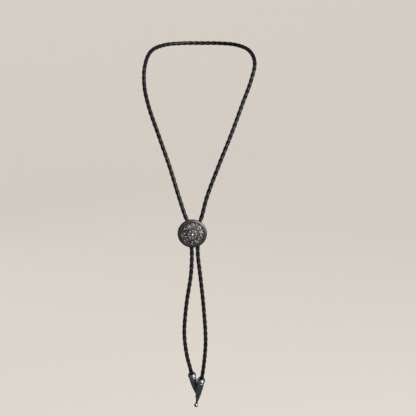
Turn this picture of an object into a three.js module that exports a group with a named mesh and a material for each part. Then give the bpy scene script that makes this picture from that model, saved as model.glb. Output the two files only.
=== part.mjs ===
// A bolo tie: one round leather cord that goes round the neck, a domed round ornament that
// slides on it, and two cone-shaped metal tips. It keeps the form that it has when it is worn.
// Millimetres, +Z up. The front of the ornament faces -Y, and "left" is towards -X.
// The origin is the point at the nape where the inside of the cord rests on the neck.

import * as THREE from 'three';

// Driving dimensions
const CORD_DIAMETER = 4.7;
const CORD_SIDES = 12;
const STEPS_PER_SPAN = 2;

const CONCHO_DIAMETER = 32;
const CONCHO_EDGE_THICKNESS = 1.4;
const CONCHO_RISE = 3.8;
const RIM_BAND_WIDTH = 2.9;
const RIM_GROOVE_WIDTH = 0.8;
const RIM_GROOVE_DEPTH = 0.5;
const ROSETTE_RADIUS = 5.6;
const ROSETTE_STEP = 0.35;
const BEAD_DIAMETER = 3.3;
const BEAD_WELL_RADIUS = 2.6;
const BEAD_WELL_DEPTH = 0.8;
const CONCHO_CENTRE = { x: -8.4, z: -195.2 };

const CHANNEL_RADIUS = 2.95;
const CLIP_WALL = 1.0;
const CLIP_HEIGHT = 10;
const CLIP_CORNER_RADIUS = 2.4;

const TIP_CORD_DEPTH = 8.5;
const TIP_FLOOR_GAP = 0.5;
const TIP_BORE_RADIUS = 2.8;
const TIP_BALL_RADIUS = 2.5;
const TIP_BALL_DISTANCE = 36.4;
const TIP_NECK_RADIUS = 1.15;

const PIECE_GAP = 0.3;
const ROUND_SEGMENTS = 64;
const TIP_SEGMENTS = 40;

// The middle line of the cord, from inside the left tip, up through the slide, round the neck
// and down to the right tip. The two short straight runs are where the slide holds the cord.
const ROUTE = [
  // x, y, z
  [-8.8, -136.4, -375.9],
  [-11.9, -140.6, -358.7],
  [-15.9, -142.0, -339],
  [-18.2, -141.6, -313],
  [-15.3, -140.2, -277],
  [-10.4, -138.2, -244.5],
  [-9.1, -135.8, -221],
  [-10, -134, -202],
  [-10, -134, -195],
  [-10, -134, -188],
  [-14.8, -132.8, -180.5],
  [-22.2, -127.5, -159.5],
  [-33.5, -116.2, -125],
  [-46, -101.9, -92.5],
  [-57, -86.3, -64.5],
  [-62.6, -72.5, -43],
  [-62.6, -58.5, -22],
  [-57, -40, -7.5],
  [-42, -15, -1.3],
  [-22, -1.8, 0],
  [0, 2.35, 0],
  [22, -1.8, 0],
  [42, -15, -1.3],
  [57, -40, -7.5],
  [61.6, -57, -19.5],
  [57.2, -68.6, -37.3],
  [46.9, -85, -62],
  [34.2, -102.3, -93],
  [20.8, -115.6, -124],
  [7.5, -127, -157.5],
  [1, -132.8, -180.5],
  [-2.6, -134, -188],
  [-2.6, -134, -195],
  [-2.6, -134, -202],
  [-2.5, -136, -221],
  [0, -138.4, -244],
  [3.9, -141, -284],
  [5.9, -141.7, -326],
  [2.6, -140.5, -364.2],
  [-0.5, -139.3, -381.9],
];
const LEFT_HELD = 8;
const RIGHT_HELD = 32;

const route = ROUTE.map((point) => new THREE.Vector3(...point));

// Finishes
const LEATHER = { color: 0x14141a, roughness: 0.45, metalness: 0 };
const ANTIQUED_METAL = { color: 0x6f6b66, roughness: 0.38, metalness: 1 };
const PLAIN_METAL = { color: 0x8d8a86, roughness: 0.42, metalness: 1 };
const DARK_METAL = { color: 0x4c4a48, roughness: 0.35, metalness: 1 };

function piece(name, geometry, finish) {
  const mesh = new THREE.Mesh(geometry, new THREE.MeshStandardMaterial(finish));
  mesh.name = name;
  return mesh;
}

function circle(radius, sides) {
  const shape = new THREE.Shape();
  for (let i = 0; i < sides; i += 1) {
    const angle = (i / sides) * 2 * Math.PI;
    const x = radius * Math.cos(angle);
    const y = radius * Math.sin(angle);
    if (i === 0) {
      shape.moveTo(x, y);
    } else {
      shape.lineTo(x, y);
    }
  }
  shape.closePath();
  return shape;
}

// A smooth curve whose steps are shared out evenly between the route's points, so that a
// section of the tube falls on each of them.
class CordCurve extends THREE.CatmullRomCurve3 {
  getPointAt(u, target) {
    return this.getPoint(u, target);
  }

  getTangentAt(u, target) {
    return this.getTangent(u, target);
  }
}

function cord() {
  const geometry = new THREE.ExtrudeGeometry(circle(CORD_DIAMETER / 2, CORD_SIDES), {
    extrudePath: new CordCurve(route),
    steps: STEPS_PER_SPAN * (route.length - 1),
  });
  return piece('cord', geometry, LEATHER);
}

// Height of the dome's face above the flat back, at a distance from its middle.
function domeHeight(radius) {
  const edge = CONCHO_DIAMETER / 2;
  const sphere = (edge * edge + CONCHO_RISE * CONCHO_RISE) / (2 * CONCHO_RISE);
  return CONCHO_EDGE_THICKNESS + CONCHO_RISE - sphere + Math.sqrt(sphere * sphere - radius * radius);
}

function domeArc(fromRadius, toRadius, steps, lift = 0) {
  const points = [];
  for (let i = 0; i <= steps; i += 1) {
    const radius = fromRadius + ((toRadius - fromRadius) * i) / steps;
    points.push(new THREE.Vector2(radius, domeHeight(radius) + lift));
  }
  return points;
}

// The ornament: a solid dome with a flat back. From the edge inwards it has a plain rim band,
// a groove, the field of the scrolls, a raised rosette and a bead in a small round well.
function concho() {
  const edge = CONCHO_DIAMETER / 2;
  const bandInside = edge - RIM_BAND_WIDTH;
  const fieldOutside = bandInside - RIM_GROOVE_WIDTH;
  const beadRadius = BEAD_DIAMETER / 2;
  const wellFloor = domeHeight(0) + ROSETTE_STEP - BEAD_WELL_DEPTH;
  const profile = [new THREE.Vector2(0, 0), new THREE.Vector2(edge, 0)];
  profile.push(...domeArc(edge, bandInside, 4));
  profile.push(...domeArc(bandInside - 0.2, fieldOutside + 0.2, 1, -RIM_GROOVE_DEPTH));
  profile.push(...domeArc(fieldOutside, ROSETTE_RADIUS + 0.2, 6));
  profile.push(...domeArc(ROSETTE_RADIUS, BEAD_WELL_RADIUS, 3, ROSETTE_STEP));
  profile.push(new THREE.Vector2(BEAD_WELL_RADIUS - 0.3, wellFloor));
  for (let i = 0; i <= 5; i += 1) {
    const angle = (i / 5) * (Math.PI / 2);
    const radius = i === 5 ? 0 : beadRadius * Math.cos(angle);
    profile.push(new THREE.Vector2(radius, wellFloor + beadRadius * Math.sin(angle)));
  }
  const mesh = piece('concho', new THREE.LatheGeometry(profile, ROUND_SEGMENTS), ANTIQUED_METAL);
  const clipFront = route[LEFT_HELD].y - CHANNEL_RADIUS - CLIP_WALL;
  mesh.position.set(CONCHO_CENTRE.x, clipFront - PIECE_GAP, CONCHO_CENTRE.z);
  mesh.rotation.x = Math.PI;
  return mesh;
}

function roundedRectangle(width, height, radius) {
  const right = width / 2;
  const top = height / 2;
  const shape = new THREE.Shape();
  shape.moveTo(right, radius - top);
  shape.lineTo(right, top - radius);
  shape.absarc(right - radius, top - radius, radius, 0, Math.PI / 2);
  shape.lineTo(radius - right, top);
  shape.absarc(radius - right, top - radius, radius, Math.PI / 2, Math.PI);
  shape.lineTo(-right, radius - top);
  shape.absarc(radius - right, radius - top, radius, Math.PI, 1.5 * Math.PI);
  shape.lineTo(right - radius, -top);
  shape.absarc(right - radius, radius - top, radius, 1.5 * Math.PI, 2 * Math.PI);
  return shape;
}

// The holder behind the ornament: one plain block with a round channel for each run of cord.
function slideClip() {
  const held = [route[LEFT_HELD], route[RIGHT_HELD]];
  const centre = held[0].clone().lerp(held[1], 0.5);
  const spacing = Math.abs(held[0].x - held[1].x);
  const depth = 2 * (CHANNEL_RADIUS + CLIP_WALL);
  const shape = roundedRectangle(spacing + depth, depth, CLIP_CORNER_RADIUS);
  for (const side of [-1, 1]) {
    const channel = new THREE.Path();
    channel.absarc((side * spacing) / 2, 0, CHANNEL_RADIUS, 0, 2 * Math.PI, true);
    shape.holes.push(channel);
  }
  const geometry = new THREE.ExtrudeGeometry(shape, {
    depth: CLIP_HEIGHT,
    bevelEnabled: false,
    curveSegments: 12,
  });
  const mesh = piece('slide_clip', geometry, PLAIN_METAL);
  mesh.position.set(centre.x, centre.y, centre.z - CLIP_HEIGHT / 2);
  return mesh;
}

// Outside of a tip, from below its mouth to its ball: distance from the mouth, and radius.
const TIP_OUTLINE = [
  // distance, radius
  [0, 4.1],
  [0.5, 4.6],
  [1.5, 4.8],
  [2.5, 4.6],
  [3.1, 4.0],
  [3.7, 3.7],
  [4.2, 4.1],
  [4.9, 4.25],
  [5.6, 4.05],
  [6.3, 3.85],
  [10.5, 3.75],
  [15.5, 3.4],
  [20.5, 2.85],
  [25.5, 2.15],
  [29.5, 1.55],
  [32.5, TIP_NECK_RADIUS],
];

// A tip stands on its ball along its own +Y, with the open socket for the cord at the top.
function tip(name, cordEnd, cordBefore) {
  const profile = [];
  const neckAngle = Math.asin(TIP_NECK_RADIUS / TIP_BALL_RADIUS);
  for (let i = 0; i <= 8; i += 1) {
    const angle = (i / 8) * (Math.PI - neckAngle);
    const radius = i === 0 ? 0 : TIP_BALL_RADIUS * Math.sin(angle);
    const distance = TIP_BALL_DISTANCE + TIP_BALL_RADIUS * Math.cos(angle);
    profile.push(new THREE.Vector2(radius, -distance));
  }
  for (const [distance, radius] of [...TIP_OUTLINE].reverse()) {
    profile.push(new THREE.Vector2(radius, -distance));
  }
  const floor = TIP_CORD_DEPTH + TIP_FLOOR_GAP;
  profile.push(new THREE.Vector2(TIP_BORE_RADIUS, 0));
  profile.push(new THREE.Vector2(TIP_BORE_RADIUS, -floor));
  profile.push(new THREE.Vector2(0, -floor));
  const mesh = piece(name, new THREE.LatheGeometry(profile, TIP_SEGMENTS), DARK_METAL);
  const upward = cordBefore.clone().sub(cordEnd).normalize();
  mesh.position.copy(cordEnd).addScaledVector(upward, TIP_CORD_DEPTH);
  mesh.quaternion.setFromUnitVectors(new THREE.Vector3(0, 1, 0), upward);
  return mesh;
}

const group = new THREE.Group();
group.add(cord());
group.add(concho());
group.add(slideClip());
group.add(tip('left_tip', route[0], route[1]));
group.add(tip('right_tip', route[route.length - 1], route[route.length - 2]));

export default group;
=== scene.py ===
"""Bolo tie: a braided leather cord, a domed scroll concho on a clip, and two metal tips."""

import math

import bpy
from mathutils import Matrix, Vector


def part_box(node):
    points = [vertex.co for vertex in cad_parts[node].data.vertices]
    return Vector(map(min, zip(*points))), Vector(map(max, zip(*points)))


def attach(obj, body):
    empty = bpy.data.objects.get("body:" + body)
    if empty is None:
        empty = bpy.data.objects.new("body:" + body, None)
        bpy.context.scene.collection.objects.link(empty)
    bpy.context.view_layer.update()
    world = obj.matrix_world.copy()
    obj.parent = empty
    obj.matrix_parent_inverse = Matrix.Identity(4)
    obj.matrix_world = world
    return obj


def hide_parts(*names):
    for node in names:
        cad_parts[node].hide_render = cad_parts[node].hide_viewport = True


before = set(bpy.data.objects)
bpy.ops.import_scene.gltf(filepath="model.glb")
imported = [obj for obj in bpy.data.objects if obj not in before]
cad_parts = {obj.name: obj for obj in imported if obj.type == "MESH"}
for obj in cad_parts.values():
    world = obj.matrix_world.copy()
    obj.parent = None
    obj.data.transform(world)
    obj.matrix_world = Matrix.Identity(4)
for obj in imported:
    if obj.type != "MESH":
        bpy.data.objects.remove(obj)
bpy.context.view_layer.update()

bl_info = {
    "name": "Bolo Tie",
    "version": (1, 0, 0),
    "blender": (4, 5, 0),
    "location": "3D View > Sidebar > Bolo Tie",
    "description": "Makes a bolo tie with a braided cord, a scroll concho and two tips",
    "category": "Add Mesh",
}

MM = 0.001
TURN = 2 * math.pi

# The middle line of the cord in millimetres: from inside the left tip, up through the clip,
# round the neck, down through the clip again and into the right tip.
CORD_ROUTE = (
    (-8.8, -136.4, -375.9),
    (-11.9, -140.6, -358.7),
    (-15.9, -142.0, -339),
    (-18.2, -141.6, -313),
    (-15.3, -140.2, -277),
    (-10.4, -138.2, -244.5),
    (-9.1, -135.8, -221),
    (-10, -134, -202),
    (-10, -134, -195),
    (-10, -134, -188),
    (-14.8, -132.8, -180.5),
    (-22.2, -127.5, -159.5),
    (-33.5, -116.2, -125),
    (-46, -101.9, -92.5),
    (-57, -86.3, -64.5),
    (-62.6, -72.5, -43),
    (-62.6, -58.5, -22),
    (-57, -40, -7.5),
    (-42, -15, -1.3),
    (-22, -1.8, 0),
    (0, 2.35, 0),
    (22, -1.8, 0),
    (42, -15, -1.3),
    (57, -40, -7.5),
    (61.6, -57, -19.5),
    (57.2, -68.6, -37.3),
    (46.9, -85, -62),
    (34.2, -102.3, -93),
    (20.8, -115.6, -124),
    (7.5, -127, -157.5),
    (1, -132.8, -180.5),
    (-2.6, -134, -188),
    (-2.6, -134, -195),
    (-2.6, -134, -202),
    (-2.5, -136, -221),
    (0, -138.4, -244),
    (3.9, -141, -284),
    (5.9, -141.7, -326),
    (2.6, -140.5, -364.2),
    (-0.5, -139.3, -381.9),
)
# The points of the route that lie in the middle of the clip's two channels.
LEFT_HELD = 8
RIGHT_HELD = 32

# One lace of the braid in section: how far across it, and how high its skin stands there.
# The first seven are the outside face, the last three the face that lies inwards.
LACE_SECTION = (
    (-1.0, 0.0),
    (-0.88, 0.62),
    (-0.5, 0.94),
    (0.0, 1.0),
    (0.5, 0.94),
    (0.88, 0.62),
    (1.0, 0.0),
    (0.6, -0.45),
    (0.0, -0.6),
    (-0.6, -0.45),
)

# Section of a tip in millimetres: radius, and height above the mouth of its socket. It runs
# from the floor of the socket up its wall, over the two rolled rings of the collar and the
# narrow ring under them, and down the cone to the neck above the ball.
TIP_OUTLINE = (
    (0, -9),
    (2.62, -9),
    (2.62, 0.15),
    (2.6, 0.65),
    (2.72, 1),
    (3.02, 1.21),
    (3.4, 1.19),
    (3.74, 0.97),
    (3.98, 0.63),
    (4.06, 0.23),
    (4.0, -0.13),
    (3.96, -0.31),
    (4.12, -0.43),
    (4.42, -0.61),
    (4.66, -0.89),
    (4.79, -1.27),
    (4.8, -1.67),
    (4.7, -2.07),
    (4.5, -2.41),
    (4.2, -2.67),
    (3.92, -2.83),
    (3.78, -3.6),
    (3.78, -3.86),
    (3.9, -4.04),
    (4.1, -4.24),
    (4.22, -4.6),
    (4.22, -4.95),
    (4.14, -5.3),
    (3.98, -5.6),
    (3.86, -5.8),
    (3.8, -6.05),
    (3.85, -6.4),
    (3.86, -7.4),
    (3.83, -9),
    (3.75, -10.8),
    (3.64, -12.6),
    (3.49, -14.6),
    (3.3, -16.6),
    (3.07, -18.6),
    (2.82, -20.6),
    (2.56, -22.6),
    (2.28, -24.6),
    (1.99, -26.6),
    (1.72, -28.4),
    (1.47, -30.1),
    (1.27, -31.6),
    (1.16, -32.7),
    (1.2, -33.1),
    (1.42, -33.3),
    (1.46, -33.5),
    (1.34, -33.75),
    (1.12, -33.95),
)
CONE_TOP = -6.4

# On the ornament: from its middle to a scroll's eye, and from its top to the well's floor.
SCROLL_EYE = 9.35 * MM
WELL_DEPTH = 0.8 * MM

# Half of the clip's solder pad in section, in millimetres: radius and height.
PAD_OUTLINE = (
    (0, 0),
    (4.6, 0),
    (4.4, 0.35),
    (4.0, 0.6),
    (3.8, 0.95),
    (0, 0.95),
)

# Half of the stage in section, in metres: a floor that runs up into a round wall.
STAGE_OUTLINE = (
    (0, -1.0),
    (2.4, -1.0),
    (2.9, -0.95),
    (3.35, -0.8),
    (3.7, -0.52),
    (3.9, -0.15),
    (4.0, 0.4),
    (4.0, 3.2),
)
STAGE_MIDDLE = Vector((0.0, -0.07, -0.2))
LIGHTS = (
    # name, direction, distance, width, power, colour, seen in the metals
    ("window", (0.65, -0.6, 0.45), 1.9, 1.25, 72, (0.93, 0.96, 1.0), True),
    ("ceiling", (-0.25, -0.1, 1.0), 2.4, 2.2, 8, (1.0, 0.98, 0.95), False),
    ("back_fill", (-0.55, 0.8, 0.25), 2.4, 1.4, 8, (1.0, 0.97, 0.93), True),
)
CAMERA_PLACE = (0.0087, -0.8195, 0.034)
CAMERA_TILT = math.radians(73.6)
CAMERA_LENS = 57.1


# ---------------------------------------------------------------- sizes and colours


def length(name, text, value, lowest=0.0, highest=50.0):
    """A size in millimetres for the sidebar, kept in metres."""
    return bpy.props.FloatProperty(
        name=name,
        description=text,
        default=value * MM,
        min=lowest * MM,
        max=highest * MM,
        precision=5,
        unit="LENGTH",
    )


def colour(name, text, value):
    """A surface colour for the sidebar."""
    return bpy.props.FloatVectorProperty(
        name=name,
        description=text,
        default=value,
        min=0.0,
        max=1.0,
        size=3,
        subtype="COLOR",
    )


class CordSizes(bpy.types.PropertyGroup):
    """Sizes of the four-lace round braid."""

    diameter: length("Diameter", "Overall diameter of the braided cord", 4.7)
    cord_length: length("Length", "Length of cord from tip to tip", 976, 100, 2000)
    lay: length("Lay", "Length of cord in which a lace goes once round it", 14.4)
    middle: length("Lace Ring", "Distance from the cord's middle to its laces", 1.61)
    weave: length("Weave", "How far a lace rises and dips at a crossing", 0.28)
    thickness: length("Lace Thickness", "Height of a lace's rounded outside", 0.53)
    core: length("Core", "Radius of the plain core inside the laces", 1.42)
    spread: bpy.props.FloatProperty(
        name="Lace Spread",
        description="Half of the angle that a lace covers round the cord",
        default=math.radians(83),
        min=0.0,
        max=math.pi,
        subtype="ANGLE",
    )
    steps: bpy.props.IntProperty(
        name="Steps",
        description="Mesh steps in one lay of the braid",
        default=24,
        min=8,
        max=60,
    )


class ConchoSizes(bpy.types.PropertyGroup):
    """Sizes of the domed ornament."""

    radius: length("Radius", "Radius of the ornament at its edge", 16)
    edge: length("Edge", "Thickness of the ornament at its edge", 1.4)
    rise: length("Rise", "Rise of the dome above its edge", 3.8)
    band: length("Rim Band", "Width of the plain rim band", 2.9)
    sink: length("Ground Depth", "How far the ground lies below the dome", 0.42)
    scroll: length("Scroll", "Thickness of the scrolls at their fullest", 0.74)
    rosette: length("Rosette", "Radius of the rosette", 5.6)
    well: length("Well", "Radius of the well round the bead", 2.5)
    bead: length("Bead", "Radius of the bead in the middle", 1.65)
    grain: length("Casting Grain", "Finest detail that the casting keeps", 0.135)
    repeats: bpy.props.IntProperty(
        name="Repeats",
        description="Number of scrolls and of petals round the ornament",
        default=8,
        min=3,
        max=16,
    )


class ClipSizes(bpy.types.PropertyGroup):
    """Sizes of the clip behind the ornament."""

    bore: length("Bore", "Radius of each channel for the cord", 2.75)
    corner: length("Corner", "Radius of the clip's long corners", 2.4)
    ease: length("Edge Rounding", "Rounding of the clip's ends", 0.35)


class TipSizes(bpy.types.PropertyGroup):
    """Sizes of the two tips."""

    ball: length("Ball", "Radius of the ball at the point", 2.5)
    ball_drop: length("Ball Drop", "From the mouth to the middle of the ball", 36.4)
    held: length("Held Cord", "Length of cord inside a tip", 8.5)
    line: length("Chased Line", "Radius of the raised lines on the cone", 0.24)
    leaves: bpy.props.IntProperty(
        name="Leaves",
        description="Number of leaves round the cone",
        default=6,
        min=3,
        max=12,
    )


class Finishes(bpy.types.PropertyGroup):
    """Colours of the leather and the metals."""

    leather: colour("Leather", "Dyed leather in the braid's valleys", (0.0035, 0.0035, 0.0042))
    worn: colour("Worn Leather", "Leather rubbed lighter on the crests", (0.012, 0.012, 0.0145))
    oxide: colour("Oxide", "Dark patina left in the recesses", (0.1, 0.091, 0.084))
    silver: colour("Silver", "Metal rubbed bright on the crests", (0.31, 0.29, 0.268))
    pewter: colour("Pewter", "Dark metal of the tips", (0.26, 0.262, 0.255))
    polished: colour("Polished", "Polished metal of the collars and balls", (0.31, 0.31, 0.318))
    plain: colour("Plain Metal", "Metal of the clip", (0.36, 0.35, 0.34))
    floor: colour("Floor", "Floor and backdrop of the stage", (0.60, 0.56, 0.51))


# ---------------------------------------------------------------- making meshes


def put_down():
    """Leave edit mode with nothing selected."""
    if bpy.context.mode != "OBJECT":
        bpy.ops.object.mode_set(mode="OBJECT")
    bpy.ops.object.select_all(action="DESELECT")


def pick(*objects):
    """Select only these objects, the first one active."""
    put_down()
    for obj in objects:
        obj.select_set(True)
    bpy.context.view_layer.objects.active = objects[0]


def joined(name, objects):
    """Join objects into the first one."""
    pick(*objects)
    if len(objects) > 1:
        bpy.ops.object.join()
    obj = bpy.context.object
    obj.name = name
    obj.data.name = name
    return obj


def tidied(obj):
    """Merge doubled points and turn every face outwards."""
    pick(obj)
    bpy.ops.object.mode_set(mode="EDIT")
    bpy.ops.mesh.select_all(action="SELECT")
    bpy.ops.mesh.remove_doubles(threshold=0.002 * MM)
    bpy.ops.mesh.normals_make_consistent(inside=False)
    bpy.ops.object.mode_set(mode="OBJECT")
    return obj


def faced(obj, inwards=False):
    """Turn every face of a piece outwards, or inwards."""
    pick(obj)
    bpy.ops.object.mode_set(mode="EDIT")
    bpy.ops.mesh.select_all(action="SELECT")
    bpy.ops.mesh.normals_make_consistent(inside=inwards)
    bpy.ops.object.mode_set(mode="OBJECT")


def turned(name, outline, steps):
    """Turn an outline of (radius, height) points in metres once round the Z axis."""
    put_down()
    bpy.ops.mesh.primitive_plane_add(size=MM)
    obj = bpy.context.object
    obj.name = name
    bpy.ops.object.mode_set(mode="EDIT")
    bpy.ops.mesh.select_all(action="SELECT")
    bpy.ops.mesh.merge(type="CENTER")
    bpy.ops.transform.translate(value=(outline[0][0], 0, outline[0][1]))
    for (radius, height), (next_radius, next_height) in zip(outline, outline[1:]):
        bpy.ops.mesh.extrude_vertices_move(
            TRANSFORM_OT_translate={"value": (next_radius - radius, 0, next_height - height)}
        )
    bpy.ops.mesh.select_all(action="SELECT")
    bpy.ops.mesh.spin(steps=steps, angle=TURN, center=(0, 0, 0), axis=(0, 0, 1))
    bpy.ops.object.mode_set(mode="OBJECT")
    return tidied(obj)


def wire(name, points, widths, radius):
    """A round wire through points, its thickness following widths, as a closed mesh."""
    put_down()
    bpy.ops.curve.primitive_bezier_curve_add()
    obj = bpy.context.object
    curve = obj.data
    curve.dimensions = "3D"
    curve.resolution_u = 3
    curve.bevel_depth = radius
    curve.bevel_resolution = 2
    curve.use_fill_caps = True
    spline = curve.splines[0]
    spline.bezier_points.add(len(points) - len(spline.bezier_points))
    for knot, point, width in zip(spline.bezier_points, points, widths):
        knot.co = point
        knot.handle_left_type = "AUTO"
        knot.handle_right_type = "AUTO"
        knot.radius = width
    bpy.ops.object.convert(target="MESH")
    obj = bpy.context.object
    obj.name = name
    return tidied(obj)


def pebble(name, place, half_sizes, segments=20):
    """A rounded lump of three half sizes, set at a place."""
    put_down()
    bpy.ops.mesh.primitive_uv_sphere_add(segments=segments, ring_count=segments // 2, radius=1)
    obj = bpy.context.object
    obj.name = name
    obj.data.transform(Matrix.Translation(place) @ Matrix.Diagonal((*half_sizes, 1)))
    return obj


def ring_of(obj, count):
    """The piece and its copies, each with its own mesh, evenly round the Z axis."""
    ring = [obj]
    for index in range(1, count):
        other = obj.copy()
        other.data = obj.data.copy()
        other.data.transform(Matrix.Rotation(TURN * index / count, 4, "Z"))
        bpy.context.collection.objects.link(other)
        ring.append(other)
    return ring


def applied(obj, kind, **settings):
    """Add a modifier with these settings and apply it."""
    pick(obj)
    modifier = obj.modifiers.new(kind.title(), kind)
    for key, value in settings.items():
        setattr(modifier, key, value)
    bpy.ops.object.modifier_apply(modifier=modifier.name)
    return obj


def placed(obj, matrix):
    """Move a finished piece to its place and leave its object at the origin."""
    pick(obj)
    obj.matrix_world = matrix
    bpy.ops.object.transform_apply(location=True, rotation=True, scale=True)
    return obj


def smoothed(obj, degrees=40):
    """Shade a piece smooth, with its sharp corners kept."""
    pick(obj)
    bpy.ops.object.shade_smooth_by_angle(angle=math.radians(degrees))
    return obj


def paint_points(obj, name, value_at):
    """Store one number at each point of the mesh for its material to read."""
    layer = obj.data.attributes.new(name, "FLOAT", "POINT")
    layer.data.foreach_set("value", [value_at(point.co) for point in obj.data.vertices])


def dress(obj, node, slot, *materials):
    """Give a piece its materials and its body, and hide the CAD part it stands for; the slot is
    not used.
    """
    obj.data.materials.clear()
    for material in materials:
        obj.data.materials.append(material)
    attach(obj, "root")
    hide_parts(node)


# ---------------------------------------------------------------- materials


class Surface:
    """A new node material with its shader, and short ways to add and join nodes."""

    def __init__(self, name, metal=0.0):
        self.material = bpy.data.materials.new(name)
        self.material.use_nodes = True
        self.tree = self.material.node_tree
        self.shader = self.tree.nodes["Principled BSDF"]
        self.shader.inputs["Metallic"].default_value = metal
        self.object = self.tree.nodes.new("ShaderNodeTexCoord").outputs["Object"]

    def node(self, kind, settings=None, **sockets):
        """Add a node, set its options, and fill its sockets with numbers or links."""
        node = self.tree.nodes.new(kind)
        for key, value in (settings or {}).items():
            setattr(node, key, value)
        for key, value in sockets.items():
            socket = node.inputs[key.replace("_", " ")]
            if isinstance(value, bpy.types.NodeSocket):
                self.tree.links.new(value, socket)
            else:
                socket.default_value = value
        return node

    def spread(self, value, low, high, to_low=0.0, to_high=1.0):
        """Stretch the range low to high onto another, and clip what lies outside it."""
        node = self.node("ShaderNodeMapRange", Value=value)
        node.inputs["From Min"].default_value = low
        node.inputs["From Max"].default_value = high
        node.inputs["To Min"].default_value = to_low
        node.inputs["To Max"].default_value = to_high
        return node.outputs["Result"]

    def noise(self, scale, detail=4.0, roughness=0.55, vector=None):
        """A noise pattern with so many features to the metre."""
        node = self.node(
            "ShaderNodeTexNoise",
            Vector=vector or self.object,
            Scale=scale,
            Detail=detail,
            Roughness=roughness,
        )
        return node.outputs["Fac"]

    def sum(self, first, second, kind="ADD"):
        """Two numbers added, multiplied and so on."""
        node = self.tree.nodes.new("ShaderNodeMath")
        node.operation = kind
        for socket, value in zip(node.inputs, (first, second)):
            if isinstance(value, bpy.types.NodeSocket):
                self.tree.links.new(value, socket)
            else:
                socket.default_value = value
        return node.outputs["Value"]

    def mixed(self, factor, first, second):
        """One colour going over into another."""
        node = self.tree.nodes.new("ShaderNodeMix")
        node.data_type = "RGBA"
        self.tree.links.new(factor, node.inputs["Factor"])
        for socket, value in zip((node.inputs[6], node.inputs[7]), (first, second)):
            if isinstance(value, bpy.types.NodeSocket):
                self.tree.links.new(value, socket)
            else:
                socket.default_value = (*value, 1.0)
        return node.outputs[2]

    def attribute(self, name):
        """The number that paint_points stored."""
        return self.node("ShaderNodeAttribute", {"attribute_name": name}).outputs["Fac"]

    def finish(self, base, roughness, height=None, distance=0.0, strength=1.0):
        """Join the patterns to the shader."""
        self.tree.links.new(base, self.shader.inputs["Base Color"])
        self.tree.links.new(roughness, self.shader.inputs["Roughness"])
        if height is not None:
            bump = self.node(
                "ShaderNodeBump", Height=height, Distance=distance, Strength=strength
            )
            self.tree.links.new(bump.outputs["Normal"], self.shader.inputs["Normal"])
        return self.material


def leather_finish(finishes):
    """Waxed black leather: pebbled grain, long fibres, and crests rubbed a little lighter."""
    surface = Surface("braided_leather")
    surface.shader.inputs["Specular IOR Level"].default_value = 0.2
    lace = surface.node("ShaderNodeUVMap", {"uv_map": "lace"}).outputs["UV"]
    along = surface.node("ShaderNodeMapping", Vector=lace, Scale=(16.0, 2.2, 1.0))
    fibres = surface.noise(1.0, detail=3.0, roughness=0.6, vector=along.outputs["Vector"])
    grain = surface.node("ShaderNodeTexVoronoi", Vector=surface.object, Scale=2600.0)
    pores = surface.spread(grain.outputs["Distance"], 0.0, 0.6)
    patches = surface.noise(140.0, detail=3.0)
    crest = surface.attribute("crest")
    rubbed = surface.sum(crest, surface.spread(patches, 0.35, 0.7), "MULTIPLY")
    base = surface.mixed(rubbed, finishes.leather, finishes.worn)
    roughness = surface.sum(
        surface.spread(patches, 0.3, 0.7, to_low=0.22, to_high=0.34),
        surface.spread(fibres, 0.3, 0.7, to_low=-0.04, to_high=0.05),
    )
    height = surface.sum(surface.sum(pores, 0.5, "MULTIPLY"), fibres)
    return surface.finish(base, roughness, height, distance=0.08 * MM, strength=0.7)


def core_finish():
    """Dull black thread inside the braid."""
    surface = Surface("cord_core")
    specks = surface.noise(900.0)
    dark_thread, light_thread = (0.003, 0.003, 0.003), (0.008, 0.008, 0.009)
    base = surface.mixed(specks, dark_thread, light_thread)
    return surface.finish(base, surface.spread(specks, 0.3, 0.7, to_low=0.75, to_high=0.9))


def silver_finish(finishes):
    """Cast silver left dark in its recesses and rubbed bright on its crests."""
    surface = Surface("antiqued_silver", metal=1.0)
    relief = surface.attribute("relief")
    clouds = surface.noise(260.0, detail=5.0, roughness=0.6)
    specks = surface.noise(2200.0, detail=3.0)
    ragged = surface.sum(relief, surface.spread(clouds, 0.25, 0.75, to_low=-0.22, to_high=0.22))
    ragged = surface.sum(ragged, surface.spread(specks, 0.3, 0.7, to_low=-0.1, to_high=0.1))
    rubbed = surface.spread(ragged, 0.15, 0.85)
    base = surface.mixed(rubbed, finishes.oxide, finishes.silver)
    roughness = surface.sum(
        surface.spread(rubbed, 0.0, 1.0, to_low=0.55, to_high=0.48),
        surface.spread(specks, 0.3, 0.7, to_low=-0.05, to_high=0.06),
    )
    scratches = surface.node(
        "ShaderNodeMapping", Vector=surface.object, Scale=(2600.0, 2600.0, 300.0)
    )
    scratches.inputs["Rotation"].default_value = (0.3, 0.8, 0.5)
    fine = surface.noise(1.0, detail=2.0, roughness=0.5, vector=scratches.outputs["Vector"])
    height = surface.sum(surface.sum(specks, 1.2, "MULTIPLY"), surface.sum(fine, 0.4, "MULTIPLY"))
    return surface.finish(base, roughness, height, distance=0.05 * MM, strength=0.6)


def bead_finish(finishes):
    """Silver polished by handling, with faint hairlines."""
    surface = Surface("polished_bead", metal=1.0)
    clouds = surface.noise(500.0, detail=3.0)
    bare_silver = (0.95, 0.93, 0.9)
    base = surface.mixed(surface.spread(clouds, 0.3, 0.7), finishes.silver, bare_silver)
    roughness = surface.spread(clouds, 0.3, 0.7, to_low=0.36, to_high=0.46)
    hairlines = surface.noise(3000.0, detail=2.0)
    return surface.finish(base, roughness, hairlines, distance=0.02 * MM, strength=0.25)


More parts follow.
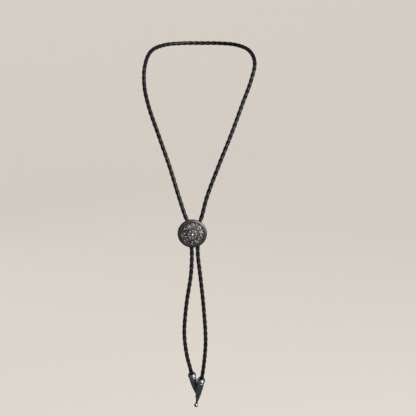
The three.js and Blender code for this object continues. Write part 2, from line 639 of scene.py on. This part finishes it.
def plain_finish(finishes):
    """Plain sawn and filed metal with fine file marks and dull spots."""
    surface = Surface("plain_metal", metal=1.0)
    clouds = surface.noise(180.0, detail=4.0)
    filed = surface.node(
        "ShaderNodeMapping", Vector=surface.object, Scale=(350.0, 350.0, 5200.0)
    )
    marks = surface.noise(1.0, detail=2.0, roughness=0.5, vector=filed.outputs["Vector"])
    dull_share = 0.45
    dull = tuple(channel * dull_share for channel in finishes.plain)
    base = surface.mixed(surface.spread(clouds, 0.3, 0.7), dull, finishes.plain)
    roughness = surface.sum(
        surface.spread(clouds, 0.3, 0.7, to_low=0.46, to_high=0.32),
        surface.spread(marks, 0.3, 0.7, to_low=-0.05, to_high=0.05),
    )
    return surface.finish(base, roughness, marks, distance=0.06 * MM, strength=0.5)


def pewter_finish(finishes):
    """Dark pewter tips: patina on the cone, rubbed lines, polished collar and ball."""
    surface = Surface("dark_pewter", metal=1.0)
    polish = surface.attribute("polish")
    clouds = surface.noise(420.0, detail=5.0, roughness=0.62)
    specks = surface.noise(2400.0, detail=3.0)
    soiled = surface.mixed(surface.spread(clouds, 0.35, 0.68), finishes.oxide, finishes.pewter)
    ragged = surface.sum(polish, surface.spread(clouds, 0.25, 0.75, to_low=-0.12, to_high=0.12))
    bright = surface.spread(ragged, 0.15, 0.85)
    base = surface.mixed(bright, soiled, finishes.polished)
    roughness = surface.sum(
        surface.spread(bright, 0.0, 1.0, to_low=0.44, to_high=0.31),
        surface.spread(specks, 0.3, 0.7, to_low=-0.04, to_high=0.05),
    )
    unpolished = surface.spread(bright, 0.0, 1.0, to_low=1.0, to_high=0.12)
    pitting = surface.sum(unpolished, specks, "MULTIPLY")
    return surface.finish(base, roughness, pitting, distance=0.07 * MM, strength=0.6)


def floor_finish(finishes):
    """Matt pale paint with the faintest unevenness, which glows a little to look even."""
    surface = Surface("stage_floor")
    clouds = surface.noise(0.8, detail=2.0)
    paint_share, shade_share, glow = 0.4, 0.39, 0.82
    paint = tuple(channel * paint_share for channel in finishes.floor)
    shade = tuple(channel * shade_share for channel in finishes.floor)
    base = surface.mixed(surface.spread(clouds, 0.3, 0.7), shade, paint)
    surface.shader.inputs["Emission Color"].default_value = (*finishes.floor, 1.0)
    surface.shader.inputs["Emission Strength"].default_value = glow
    return surface.finish(base, surface.spread(clouds, 0.3, 0.7, to_low=0.88, to_high=0.95))


# ---------------------------------------------------------------- the cord


def smooth_route(points, pieces_per_span=24):
    """Points along a smooth curve through the route, its speed eased by the root of each span."""
    route = [Vector(point) * MM for point in points]
    route = [2 * route[0] - route[1], *route, 2 * route[-1] - route[-2]]
    line = []
    for before, start, end, after in zip(route, route[1:], route[2:], route[3:]):
        first, middle, last = (
            math.sqrt((second - one).length)
            for one, second in ((before, start), (start, end), (end, after))
        )
        leave = (start - before) / first - (end - before) / (first + middle)
        leave = (leave + (end - start) / middle) * middle
        arrive = (end - start) / middle - (after - start) / (middle + last)
        arrive = (arrive + (after - end) / last) * middle
        for index in range(pieces_per_span):
            t = index / pieces_per_span
            line.append(
                (2 * t**3 - 3 * t**2 + 1) * start
                + (t**3 - 2 * t**2 + t) * leave
                + (3 * t**2 - 2 * t**3) * end
                + (t**3 - t**2) * arrive
            )
    line.append(route[-2])
    return line


def even_steps(line, step):
    """The same line in steps of nearly equal length, and its whole length."""
    distances = [0.0]
    for start, end in zip(line, line[1:]):
        distances.append(distances[-1] + (end - start).length)
    whole = distances[-1]
    count = round(whole / step)
    even, span = [], 0
    for index in range(count + 1):
        target = whole * index / count
        while span < len(line) - 2 and distances[span + 1] < target:
            span += 1
        share = (target - distances[span]) / (distances[span + 1] - distances[span])
        even.append(line[span].lerp(line[span + 1], share))
    return even, whole


def untwisted_frames(line):
    """Two directions square to the line at each of its points, carried along without twist."""
    frames = []
    side = Vector((1, 0, 0))
    for index in range(len(line)):
        ahead = (line[min(index + 1, len(line) - 1)] - line[max(index - 1, 0)]).normalized()
        side = (side - ahead * side.dot(ahead)).normalized()
        frames.append((side.copy(), ahead.cross(side)))
    return frames


def braid_mesh(sizes, line, whole):
    """Four laces woven over and under each other round a core, as one mesh."""
    frames = untwisted_frames(line)
    points, faces, crests, lace_map = [], [], [], []
    across = len(LACE_SECTION)

    def close(first, rings, around):
        """Add the faces of a tube of rings that starts at a point, with both its ends."""
        for ring in range(rings - 1):
            for corner in range(around):
                a = first + ring * around + corner
                b = first + ring * around + (corner + 1) % around
                faces.append((a, b, b + around, a + around))
        faces.append(tuple(range(first, first + around)))
        last = first + (rings - 1) * around
        faces.append(tuple(range(last, last + around)))

    highest = sizes.middle + sizes.weave + sizes.thickness
    lowest = sizes.middle
    for hand, start in ((1, 0.0), (1, math.pi), (-1, 0.0), (-1, math.pi)):
        first = len(points)
        for index, (place, (side, other)) in enumerate(zip(line, frames)):
            travelled = whole * index / (len(line) - 1)
            phase = TURN * travelled / sizes.lay
            for corner, (share, lift) in enumerate(LACE_SECTION):
                offset = share * sizes.spread
                angle = hand * phase + start + offset
                radius = (
                    sizes.middle
                    + hand * sizes.weave * math.cos(2 * phase + hand * offset)
                    + lift * sizes.thickness
                )
                points.append(
                    place + radius * (math.cos(angle) * side + math.sin(angle) * other)
                )
                crests.append(max(0.0, min(1.0, (radius - lowest) / (highest - lowest))))
                lace_map.append((corner / across, travelled / sizes.lay))
        close(first, len(line), across)

    core_sides, core_stride = 8, 3
    first, lace_faces = len(points), len(faces)
    core_line = list(range(0, len(line), core_stride))
    if core_line[-1] != len(line) - 1:
        core_line.append(len(line) - 1)
    for index in core_line:
        side, other = frames[index]
        for corner in range(core_sides):
            angle = TURN * corner / core_sides
            points.append(
                line[index] + sizes.core * (math.cos(angle) * side + math.sin(angle) * other)
            )
            crests.append(0.0)
            lace_map.append((corner / core_sides, 0.0))
    close(first, len(core_line), core_sides)

    mesh = bpy.data.meshes.new("braided_cord")
    mesh.from_pydata(points, [], faces)
    mesh.polygons.foreach_set(
        "material_index", [0] * lace_faces + [1] * (len(faces) - lace_faces)
    )
    layer = mesh.attributes.new("crest", "FLOAT", "POINT")
    layer.data.foreach_set("value", crests)
    uv_layer = mesh.uv_layers.new(name="lace")
    for loop, spot in zip(mesh.loops, uv_layer.data):
        spot.uv = lace_map[loop.vertex_index]
    return mesh


# ---------------------------------------------------------------- the ornament


def dome_height(sizes, radius):
    """Height of the dome's face above the flat back at a distance from its middle."""
    sphere = (sizes.radius**2 + sizes.rise**2) / (2 * sizes.rise)
    return sizes.edge + sizes.rise - sphere + math.sqrt(sphere**2 - radius**2)


def on_dome(sizes, radius, angle, lift=0.0):
    """The place on the dome at a distance from the middle and an angle round it."""
    return Vector(
        (
            radius * math.cos(angle),
            radius * math.sin(angle),
            dome_height(sizes, radius) + lift,
        )
    )


def concho_place():
    """The ornament's place in the frame: flat on the clip, its dome towards the front."""
    low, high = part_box("concho")
    return Matrix.Translation(
        ((low.x + high.x) / 2, high.y, (low.z + high.z) / 2)
    ) @ Matrix.Rotation(math.pi / 2, 4, "X")


def rim_outline(sizes):
    """Section of the rim band and the back, from the middle of the back to the ground."""
    back, lip = 0.45 * MM, 1.6 * MM
    edge = sizes.radius
    outline = [
        (0, back),
        (edge - lip - 0.5 * MM, back),
        (edge - lip, back - 0.3 * MM),
        (edge - lip + 0.3 * MM, 0),
        (edge - 0.35 * MM, 0),
        (edge - 0.1 * MM, 0.1 * MM),
        (edge, 0.35 * MM),
        (edge, 0.9 * MM),
    ]
    inside = edge - sizes.band
    steps, roll_height = 10, 0.62 * MM
    for index in range(steps + 1):
        share = index / steps
        radius = edge + (inside - edge) * share
        roll = roll_height * math.sin(math.pi * (0.1 + 0.82 * share))
        outline.append((radius, dome_height(sizes, radius) + roll - 0.1 * MM))
    outline += [
        (inside - 0.18 * MM, dome_height(sizes, inside) - 0.35 * MM),
        (inside - 0.4 * MM, dome_height(sizes, inside) - 0.75 * MM),
        (inside - 1.2 * MM, dome_height(sizes, inside) - 0.8 * MM),
        (inside - 2.2 * MM, dome_height(sizes, inside) - 0.6 * MM),
        (0, dome_height(sizes, inside)),
    ]
    return outline


def field_outline(sizes):
    """Section of the cast field: its ground, the rosette's ring and the bead's well."""
    outer = sizes.radius - sizes.band - 0.4 * MM
    underside = 1.6 * MM
    sink = sizes.sink
    outline = [(0, underside), (outer - 0.6 * MM, underside)]
    outline.append((outer, dome_height(sizes, outer) - sink - 0.3 * MM))
    outline.append((outer, dome_height(sizes, outer) - 0.05 * MM))
    outline.append((outer - 0.25 * MM, dome_height(sizes, outer) + 0.08 * MM))
    outline.append((outer - 0.5 * MM, dome_height(sizes, outer) - 0.02 * MM))
    steps = 8
    start, end = outer - 0.7 * MM, sizes.rosette + 0.45 * MM
    for index in range(steps + 1):
        radius = start + (end - start) * index / steps
        outline.append((radius, dome_height(sizes, radius) - sink))
    outline.append((sizes.rosette + 0.25 * MM, dome_height(sizes, sizes.rosette) + 0.02 * MM))
    outline.append((sizes.rosette, dome_height(sizes, sizes.rosette) + 0.1 * MM))
    outline.append((sizes.rosette - 0.3 * MM, dome_height(sizes, sizes.rosette) - 0.02 * MM))
    ring = sizes.rosette - 0.5 * MM
    outline.append((ring, dome_height(sizes, ring) - 0.35 * MM))
    outline.append((sizes.well + 0.45 * MM, dome_height(sizes, sizes.well) - 0.3 * MM))
    outline.append((sizes.well + 0.2 * MM, dome_height(sizes, sizes.well) + 0.15 * MM))
    outline.append((sizes.well - 0.15 * MM, dome_height(sizes, sizes.well) + 0.05 * MM))
    outline.append((sizes.well - 0.35 * MM, dome_height(sizes, 0) - 0.75 * MM))
    outline.append((0, dome_height(sizes, 0) - WELL_DEPTH))
    return outline


def scroll(sizes, hand):
    """One scroll of the field: a stem that rises from the rosette and curls up on itself."""
    points, widths = [], []
    half = math.pi / sizes.repeats
    stem = (
        # radius in millimetres, share of half a repeat, width
        (6.3, -1.2, 0.4),
        (6.8, -1.08, 0.62),
        (7.7, -0.99, 0.82),
    )
    for radius, share, width in stem:
        points.append(on_dome(sizes, radius * MM, hand * share * half, -0.12 * MM))
        widths.append(width)
    eye = on_dome(sizes, SCROLL_EYE, 0.0)
    start, turns, knots = math.radians(-118), 1.3, 15
    widest, drawn_in = 2.95 * MM, 2.4 * MM
    outermost = sizes.radius - sizes.band - 0.8 * MM
    for index in range(knots + 1):
        share = index / knots
        angle = start + turns * TURN * share
        reach = widest - drawn_in * share**0.85
        x = eye.x + reach * math.cos(angle)
        y = eye.y + hand * reach * math.sin(angle)
        radius = min(math.hypot(x, y), outermost)
        points.append(on_dome(sizes, radius, math.atan2(y, x), -0.1 * MM))
        widths.append(1.0 - 0.45 * share)
    return wire("scroll", points, widths, sizes.scroll)


def leaf(sizes, reach, width, radius, angle):
    """A teardrop leaf on the dome, its rounded heel inwards and its drawn-out point outwards."""
    lump = pebble("leaf", (0, 0, 0), (reach, width, 0.42 * MM), 16)
    for point in lump.data.vertices:
        share = (point.co.x / reach + 1) / 2
        point.co.y *= 1.25 - 0.95 * share
        point.co.z *= 1.15 - 0.5 * share
    slope = math.atan2(
        dome_height(sizes, radius + reach) - dome_height(sizes, radius - reach), 2 * reach
    )
    lump.data.transform(
        Matrix.Rotation(angle, 4, "Z")
        @ Matrix.Translation((radius, 0, dome_height(sizes, radius) - 0.16 * MM))
        @ Matrix.Rotation(-slope, 4, "Y")
    )
    return lump


def scroll_field(sizes):
    """The cast middle of the ornament, with everything on it run into one skin."""
    half = math.pi / sizes.repeats
    parts = [turned("field", field_outline(sizes), 72)]
    for index in range(sizes.repeats):
        curl = scroll(sizes, 1 if index % 2 else -1)
        curl.data.transform(Matrix.Rotation(2 * half * index, 4, "Z"))
        parts.append(curl)
    outer_leaf = leaf(sizes, reach=1.25 * MM, width=0.85 * MM, radius=11.2 * MM, angle=half)
    inner_leaf = leaf(sizes, reach=1.05 * MM, width=0.75 * MM, radius=7.6 * MM, angle=half)
    parts += ring_of(outer_leaf, sizes.repeats)
    parts += ring_of(inner_leaf, sizes.repeats)
    dot_centre = on_dome(sizes, SCROLL_EYE, 0.0, -0.05 * MM)
    dot = pebble("dot", dot_centre, (0.62 * MM,) * 3, 12)
    parts += ring_of(dot, sizes.repeats)
    petal_centre = on_dome(sizes, 4.0 * MM, 0.0, -0.12 * MM)
    petal = pebble("petal", petal_centre, (1.15 * MM, 1.5 * MM, 0.55 * MM))
    parts += ring_of(petal, sizes.repeats)
    field = joined("concho_field", parts)
    applied(field, "REMESH", mode="VOXEL", voxel_size=sizes.grain, use_smooth_shade=True)
    applied(field, "SMOOTH", factor=0.5, iterations=2)
    return field


# ---------------------------------------------------------------- the tips


def ball_outline(sizes, neck):
    """Section of the ball, from the neck round to its lowest point."""
    outline = []
    start = math.asin(neck / sizes.ball)
    steps = 14
    for index in range(steps + 1):
        angle = start + (math.pi - start) * index / steps
        outline.append(
            (
                0.0 if index == steps else sizes.ball * math.sin(angle),
                -sizes.ball_drop + sizes.ball * math.cos(angle),
            )
        )
    return outline


def cone_radius(height):
    """Radius of the cone at a height below the mouth, from its outline."""
    cone = [(radius * MM, z * MM) for radius, z in TIP_OUTLINE if z <= CONE_TOP]
    for (wide, top), (narrow, bottom) in zip(cone, cone[1:]):
        if bottom <= height <= top:
            share = (top - height) / (top - bottom)
            return wide + (narrow - wide) * share
    return cone[-1][0]


def on_cone(height, across):
    """The place on the cone at a height and at a distance round from the front."""
    radius = cone_radius(height)
    angle = across / radius
    return Vector((radius * math.cos(angle), radius * math.sin(angle), height))


def chased_leaf(sizes, top, bottom, width):
    """One long leaf of raised lines: two edges that meet in a point, and a midrib."""
    knots = 9
    lines = []
    for hand in (-1, 0, 1):
        points, widths = [], []
        for index in range(knots + 1):
            share = index / knots
            height = top + (bottom - top) * share
            belly = math.sin(math.pi * min(1.0, share * 0.92 + 0.04)) ** 0.8
            points.append(on_cone(height, hand * width * belly))
            widths.append(0.5 + 0.5 * math.sin(math.pi * share))
        lines.append(wire("line", points, widths, sizes.line * (0.8 if hand == 0 else 1.0)))
    return joined("leaf", lines)


def tip(sizes, name):
    """A tip standing on its ball at the origin, the mouth of its socket at height nought."""
    outline = [(radius * MM, height * MM) for radius, height in TIP_OUTLINE]
    outline += ball_outline(sizes, outline[-1][0])
    parts = [turned(name, outline, 64)]
    upper = chased_leaf(sizes, top=-7.0 * MM, bottom=-18.6 * MM, width=1.35 * MM)
    lower = chased_leaf(sizes, top=-15.6 * MM, bottom=-28.6 * MM, width=0.8 * MM)
    lower.data.transform(Matrix.Rotation(math.pi / sizes.leaves, 4, "Z"))
    parts += ring_of(upper, sizes.leaves)
    parts += ring_of(lower, sizes.leaves)
    bead_centre = (3.86 * MM, 0, -6.15 * MM)
    bead = pebble("bead", bead_centre, (0.3 * MM, 0.36 * MM, 0.36 * MM), 10)
    parts += ring_of(bead, 4 * sizes.leaves)
    return joined(name, parts)


def tip_polish(point):
    """How far a place on a tip is polished: all on the collar and the ball."""
    height = point.z / MM
    radius = math.hypot(point.x, point.y) / MM
    in_socket = radius < 2.7 and height > -9.5
    on_collar = height > -2.95
    between_collar_rings = -0.45 < height < -0.15
    on_ball = height < -33.9
    on_lower_ring = -5.6 < height < -3.95
    below_beads = height < -6.3
    line_polish, full_line = 0.62, 0.14
    if in_socket:
        return 0.0
    if on_collar:
        return 0.45 if between_collar_rings else 1.0
    if on_ball:
        return 1.0
    if on_lower_ring:
        return 0.3
    if below_beads:
        proud = radius - cone_radius(height * MM) / MM
        return line_polish * max(0.0, min(1.0, proud / full_line))
    return 0.1


# ---------------------------------------------------------------- operators


class BOLOTIE_OT_stage(bpy.types.Operator):
    """Set the floor, the backdrop, the lights and the camera"""

    bl_idname = "bolotie.stage"
    bl_label = "Set Stage"

    def execute(self, context):
        """Make a seamless pale floor and wall, one large soft window light and two fills."""
        scene = context.scene
        floor = turned("stage_floor", STAGE_OUTLINE, 96)
        faced(floor, inwards=True)
        bpy.ops.object.shade_smooth()
        floor.data.materials.append(floor_finish(scene.bolotie_finishes))
        floor.visible_glossy = False

        for name, direction, distance, width, power, tint, mirrored in LIGHTS:
            put_down()
            towards = Vector(direction).normalized()
            place = STAGE_MIDDLE + towards * distance
            bpy.ops.object.light_add(type="AREA", location=place)
            lamp = context.object
            lamp.name = name
            lamp.rotation_euler = towards.to_track_quat("Z", "Y").to_euler()
            lamp.data.shape = "SQUARE"
            lamp.data.size = width
            lamp.data.energy = power
            lamp.data.color = tint
            lamp.visible_glossy = mirrored

        world = bpy.data.worlds.new("studio")
        world.use_nodes = True
        background = world.node_tree.nodes["Background"]
        background.inputs["Color"].default_value = (0.9, 0.95, 1.0, 1.0)
        background.inputs["Strength"].default_value = 0.19
        scene.world = world
        scene.view_settings.view_transform = "Standard"

        put_down()
        bpy.ops.object.camera_add(location=CAMERA_PLACE, rotation=(CAMERA_TILT, 0, 0))
        camera = context.object
        camera.data.lens = CAMERA_LENS
        camera.data.sensor_width = 36
        camera.data.clip_start = 0.01
        camera.data.clip_end = 30
        scene.camera = camera
        return {"FINISHED"}


class BOLOTIE_OT_cord(bpy.types.Operator):
    """Braid the leather cord along its route"""

    bl_idname = "bolotie.cord"
    bl_label = "Make Cord"

    def execute(self, context):
        """Weave four laces round the middle line and close both ends."""
        sizes = context.scene.bolotie_cord
        line, whole = even_steps(smooth_route(CORD_ROUTE), sizes.lay / sizes.steps)
        tolerance = 0.01 * sizes.cord_length
        if abs(whole - sizes.cord_length) > tolerance:
            raise RuntimeError(f"the cord came out {whole:.4f} m long")
        mesh = braid_mesh(sizes, line, whole)
        cord = bpy.data.objects.new("braided_cord", mesh)
        context.collection.objects.link(cord)
        faced(cord)
        bpy.ops.object.shade_smooth()
        finishes = context.scene.bolotie_finishes
        dress(cord, "cord", "braided_leather", leather_finish(finishes), core_finish())
        return {"FINISHED"}


class BOLOTIE_OT_concho(bpy.types.Operator):
    """Make the domed ornament with its rim, its cast field and its bead"""

    bl_idname = "bolotie.concho"
    bl_label = "Make Concho"

    def execute(self, context):
        """Turn the rim, cast the field, set the bead and bring them to their place."""
        sizes = context.scene.bolotie_concho
        finishes = context.scene.bolotie_finishes
        silver = silver_finish(finishes)
        place = concho_place()

        rim = turned("concho_rim", rim_outline(sizes), 128)
        band_inside = sizes.radius - sizes.band

        back_relief, ground_relief, band_relief = 0.35, 0.0, 0.14

        def rim_relief(point):
            """Dark under the field, a little lighter on the band and on the cast back."""
            if math.hypot(point.x, point.y) < band_inside - 0.05 * MM:
                return back_relief if point.z < MM else ground_relief
            return band_relief

        paint_points(rim, "relief", rim_relief)
        field = scroll_field(sizes)
        crest_height = sizes.sink + sizes.scroll - 0.15 * MM

        def field_relief(point):
            """Nothing on the ground, rising to one at the top of the scrolls."""
            radius = min(math.hypot(point.x, point.y), sizes.radius)
            ground = dome_height(sizes, radius) - sizes.sink
            return max(0.0, min(1.0, (point.z - ground) / crest_height))

        paint_points(field, "relief", field_relief)
        well_floor = dome_height(sizes, 0) - WELL_DEPTH
        bead_centre = well_floor + sizes.bead * 0.6
        bead = pebble("concho_bead", (0, 0, bead_centre), (sizes.bead,) * 3, 40)
        for piece in (rim, field, bead):
            placed(piece, place)
            smoothed(piece, 50)
        for piece in (rim, field):
            dress(piece, "concho", "antiqued_silver", silver)
        dress(bead, "concho", "antiqued_silver", bead_finish(finishes))
        return {"FINISHED"}


class BOLOTIE_OT_clip(bpy.types.Operator):
    """Make the clip that holds both runs of the cord behind the ornament"""

    bl_idname = "bolotie.clip"
    bl_label = "Make Clip"

    def execute(self, context):
        """Round a block, drill it twice, ease its ends and solder a pad to its front."""
        sizes = context.scene.bolotie_clip
        low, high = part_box("slide_clip")
        middle = (low + high) / 2
        put_down()
        bpy.ops.mesh.primitive_cube_add(size=1, location=middle)
        clip = context.object
        clip.name = "cord_clip"
        clip.scale = high - low
        bpy.ops.object.transform_apply(location=True, rotation=True, scale=True)
        bpy.ops.object.mode_set(mode="EDIT")
        bpy.ops.mesh.select_all(action="DESELECT")
        bpy.ops.object.mode_set(mode="OBJECT")
        for edge in clip.data.edges:
            start, end = (clip.data.vertices[index].co for index in edge.vertices)
            edge.select = abs((start - end).z) > 0.5 * (high - low).z
        bpy.ops.object.mode_set(mode="EDIT")
        bpy.ops.mesh.select_mode(type="EDGE")
        bpy.ops.mesh.bevel(offset=sizes.corner, segments=6, affect="EDGES")
        bpy.ops.mesh.select_mode(type="VERT")
        bpy.ops.object.mode_set(mode="OBJECT")
        for held in (LEFT_HELD, RIGHT_HELD):
            put_down()
            bpy.ops.mesh.primitive_cylinder_add(
                vertices=48,
                radius=sizes.bore,
                depth=2 * (high - low).z,
                location=(CORD_ROUTE[held][0] * MM, middle.y, middle.z),
            )
            drill = context.object
            applied(clip, "BOOLEAN", operation="DIFFERENCE", object=drill, solver="EXACT")
            bpy.data.objects.remove(drill)
        applied(
            clip,
            "BEVEL",
            width=sizes.ease,
            segments=3,
            limit_method="ANGLE",
            angle_limit=math.radians(50),
        )
        pad = turned("pad", [(radius * MM, height * MM) for radius, height in PAD_OUTLINE], 48)
        pad_reach = 0.83 * MM
        place = Matrix.Translation((middle.x, low.y - pad_reach, middle.z))
        placed(pad, place @ Matrix.Rotation(-math.pi / 2, 4, "X"))
        clip = tidied(joined("cord_clip", [clip, pad]))
        smoothed(clip, 35)
        dress(clip, "slide_clip", "plain_metal", plain_finish(context.scene.bolotie_finishes))
        return {"FINISHED"}


class BOLOTIE_OT_tips(bpy.types.Operator):
    bl_idname = "bolotie.tips"
    bl_label = "Make Tips"

    def execute(self, context):
        """Turn one tip, copy it, and set each on its end of the cord."""
        sizes = context.scene.bolotie_tips
        pewter = pewter_finish(context.scene.bolotie_finishes)
        route = [Vector(point) * MM for point in CORD_ROUTE]
        first = tip(sizes, "left_cord_tip")
        paint_points(first, "polish", tip_polish)
        second = first.copy()
        second.data = first.data.copy()
        second.name = "right_cord_tip"
        context.collection.objects.link(second)
        ends = (
            (first, "left_tip", route[0], route[1]),
            (second, "right_tip", route[-1], route[-2]),
        )
        for piece, node, end, before in ends:
            upward = (before - end).normalized()
            turn = Vector((0, 0, 1)).rotation_difference(upward).to_matrix().to_4x4()
            placed(piece, Matrix.Translation(end + upward * sizes.held) @ turn)
            smoothed(piece, 45)
            dress(piece, node, "dark_pewter", pewter)

        path, _ = even_steps(smooth_route(CORD_ROUTE), 2 * MM)
        return {"FINISHED"}


class BOLOTIE_PT_sidebar(bpy.types.Panel):
    """Sizes, colours and the steps of making the bolo tie"""

    bl_idname = "BOLOTIE_PT_sidebar"
    bl_label = "Bolo Tie"
    bl_space_type = "VIEW_3D"
    bl_region_type = "UI"
    bl_category = "Bolo Tie"

    def draw(self, context):
        """List every step with its sizes under it."""
        layout = self.layout
        scene = context.scene
        for operator, holder in STEPS:
            box = layout.box()
            box.operator(operator.bl_idname)
            group = getattr(scene, holder)
            for key in type(group).__annotations__:
                box.prop(group, key)


HOLDERS = (
    ("bolotie_cord", CordSizes),
    ("bolotie_concho", ConchoSizes),
    ("bolotie_clip", ClipSizes),
    ("bolotie_tips", TipSizes),
    ("bolotie_finishes", Finishes),
)
STEPS = (
    (BOLOTIE_OT_stage, "bolotie_finishes"),
    (BOLOTIE_OT_cord, "bolotie_cord"),
    (BOLOTIE_OT_concho, "bolotie_concho"),
    (BOLOTIE_OT_clip, "bolotie_clip"),
    (BOLOTIE_OT_tips, "bolotie_tips"),
)


def register():
    """Register the property groups, the operators and the panel."""
    for holder, group in HOLDERS:
        bpy.utils.register_class(group)
        setattr(bpy.types.Scene, holder, bpy.props.PointerProperty(type=group))
    for operator, _ in STEPS:
        bpy.utils.register_class(operator)
    bpy.utils.register_class(BOLOTIE_PT_sidebar)


def unregister():
    """Take everything out again in the opposite order."""
    bpy.utils.unregister_class(BOLOTIE_PT_sidebar)
    for operator, _ in reversed(STEPS):
        bpy.utils.unregister_class(operator)
    for holder, group in reversed(HOLDERS):
        delattr(bpy.types.Scene, holder)
        bpy.utils.unregister_class(group)


def main():
    """Make the whole bolo tie on its stage."""
    register()
    bpy.ops.bolotie.stage()
    bpy.ops.bolotie.cord()
    bpy.ops.bolotie.concho()
    bpy.ops.bolotie.clip()
    bpy.ops.bolotie.tips()


if __name__ == "__main__":
    main()
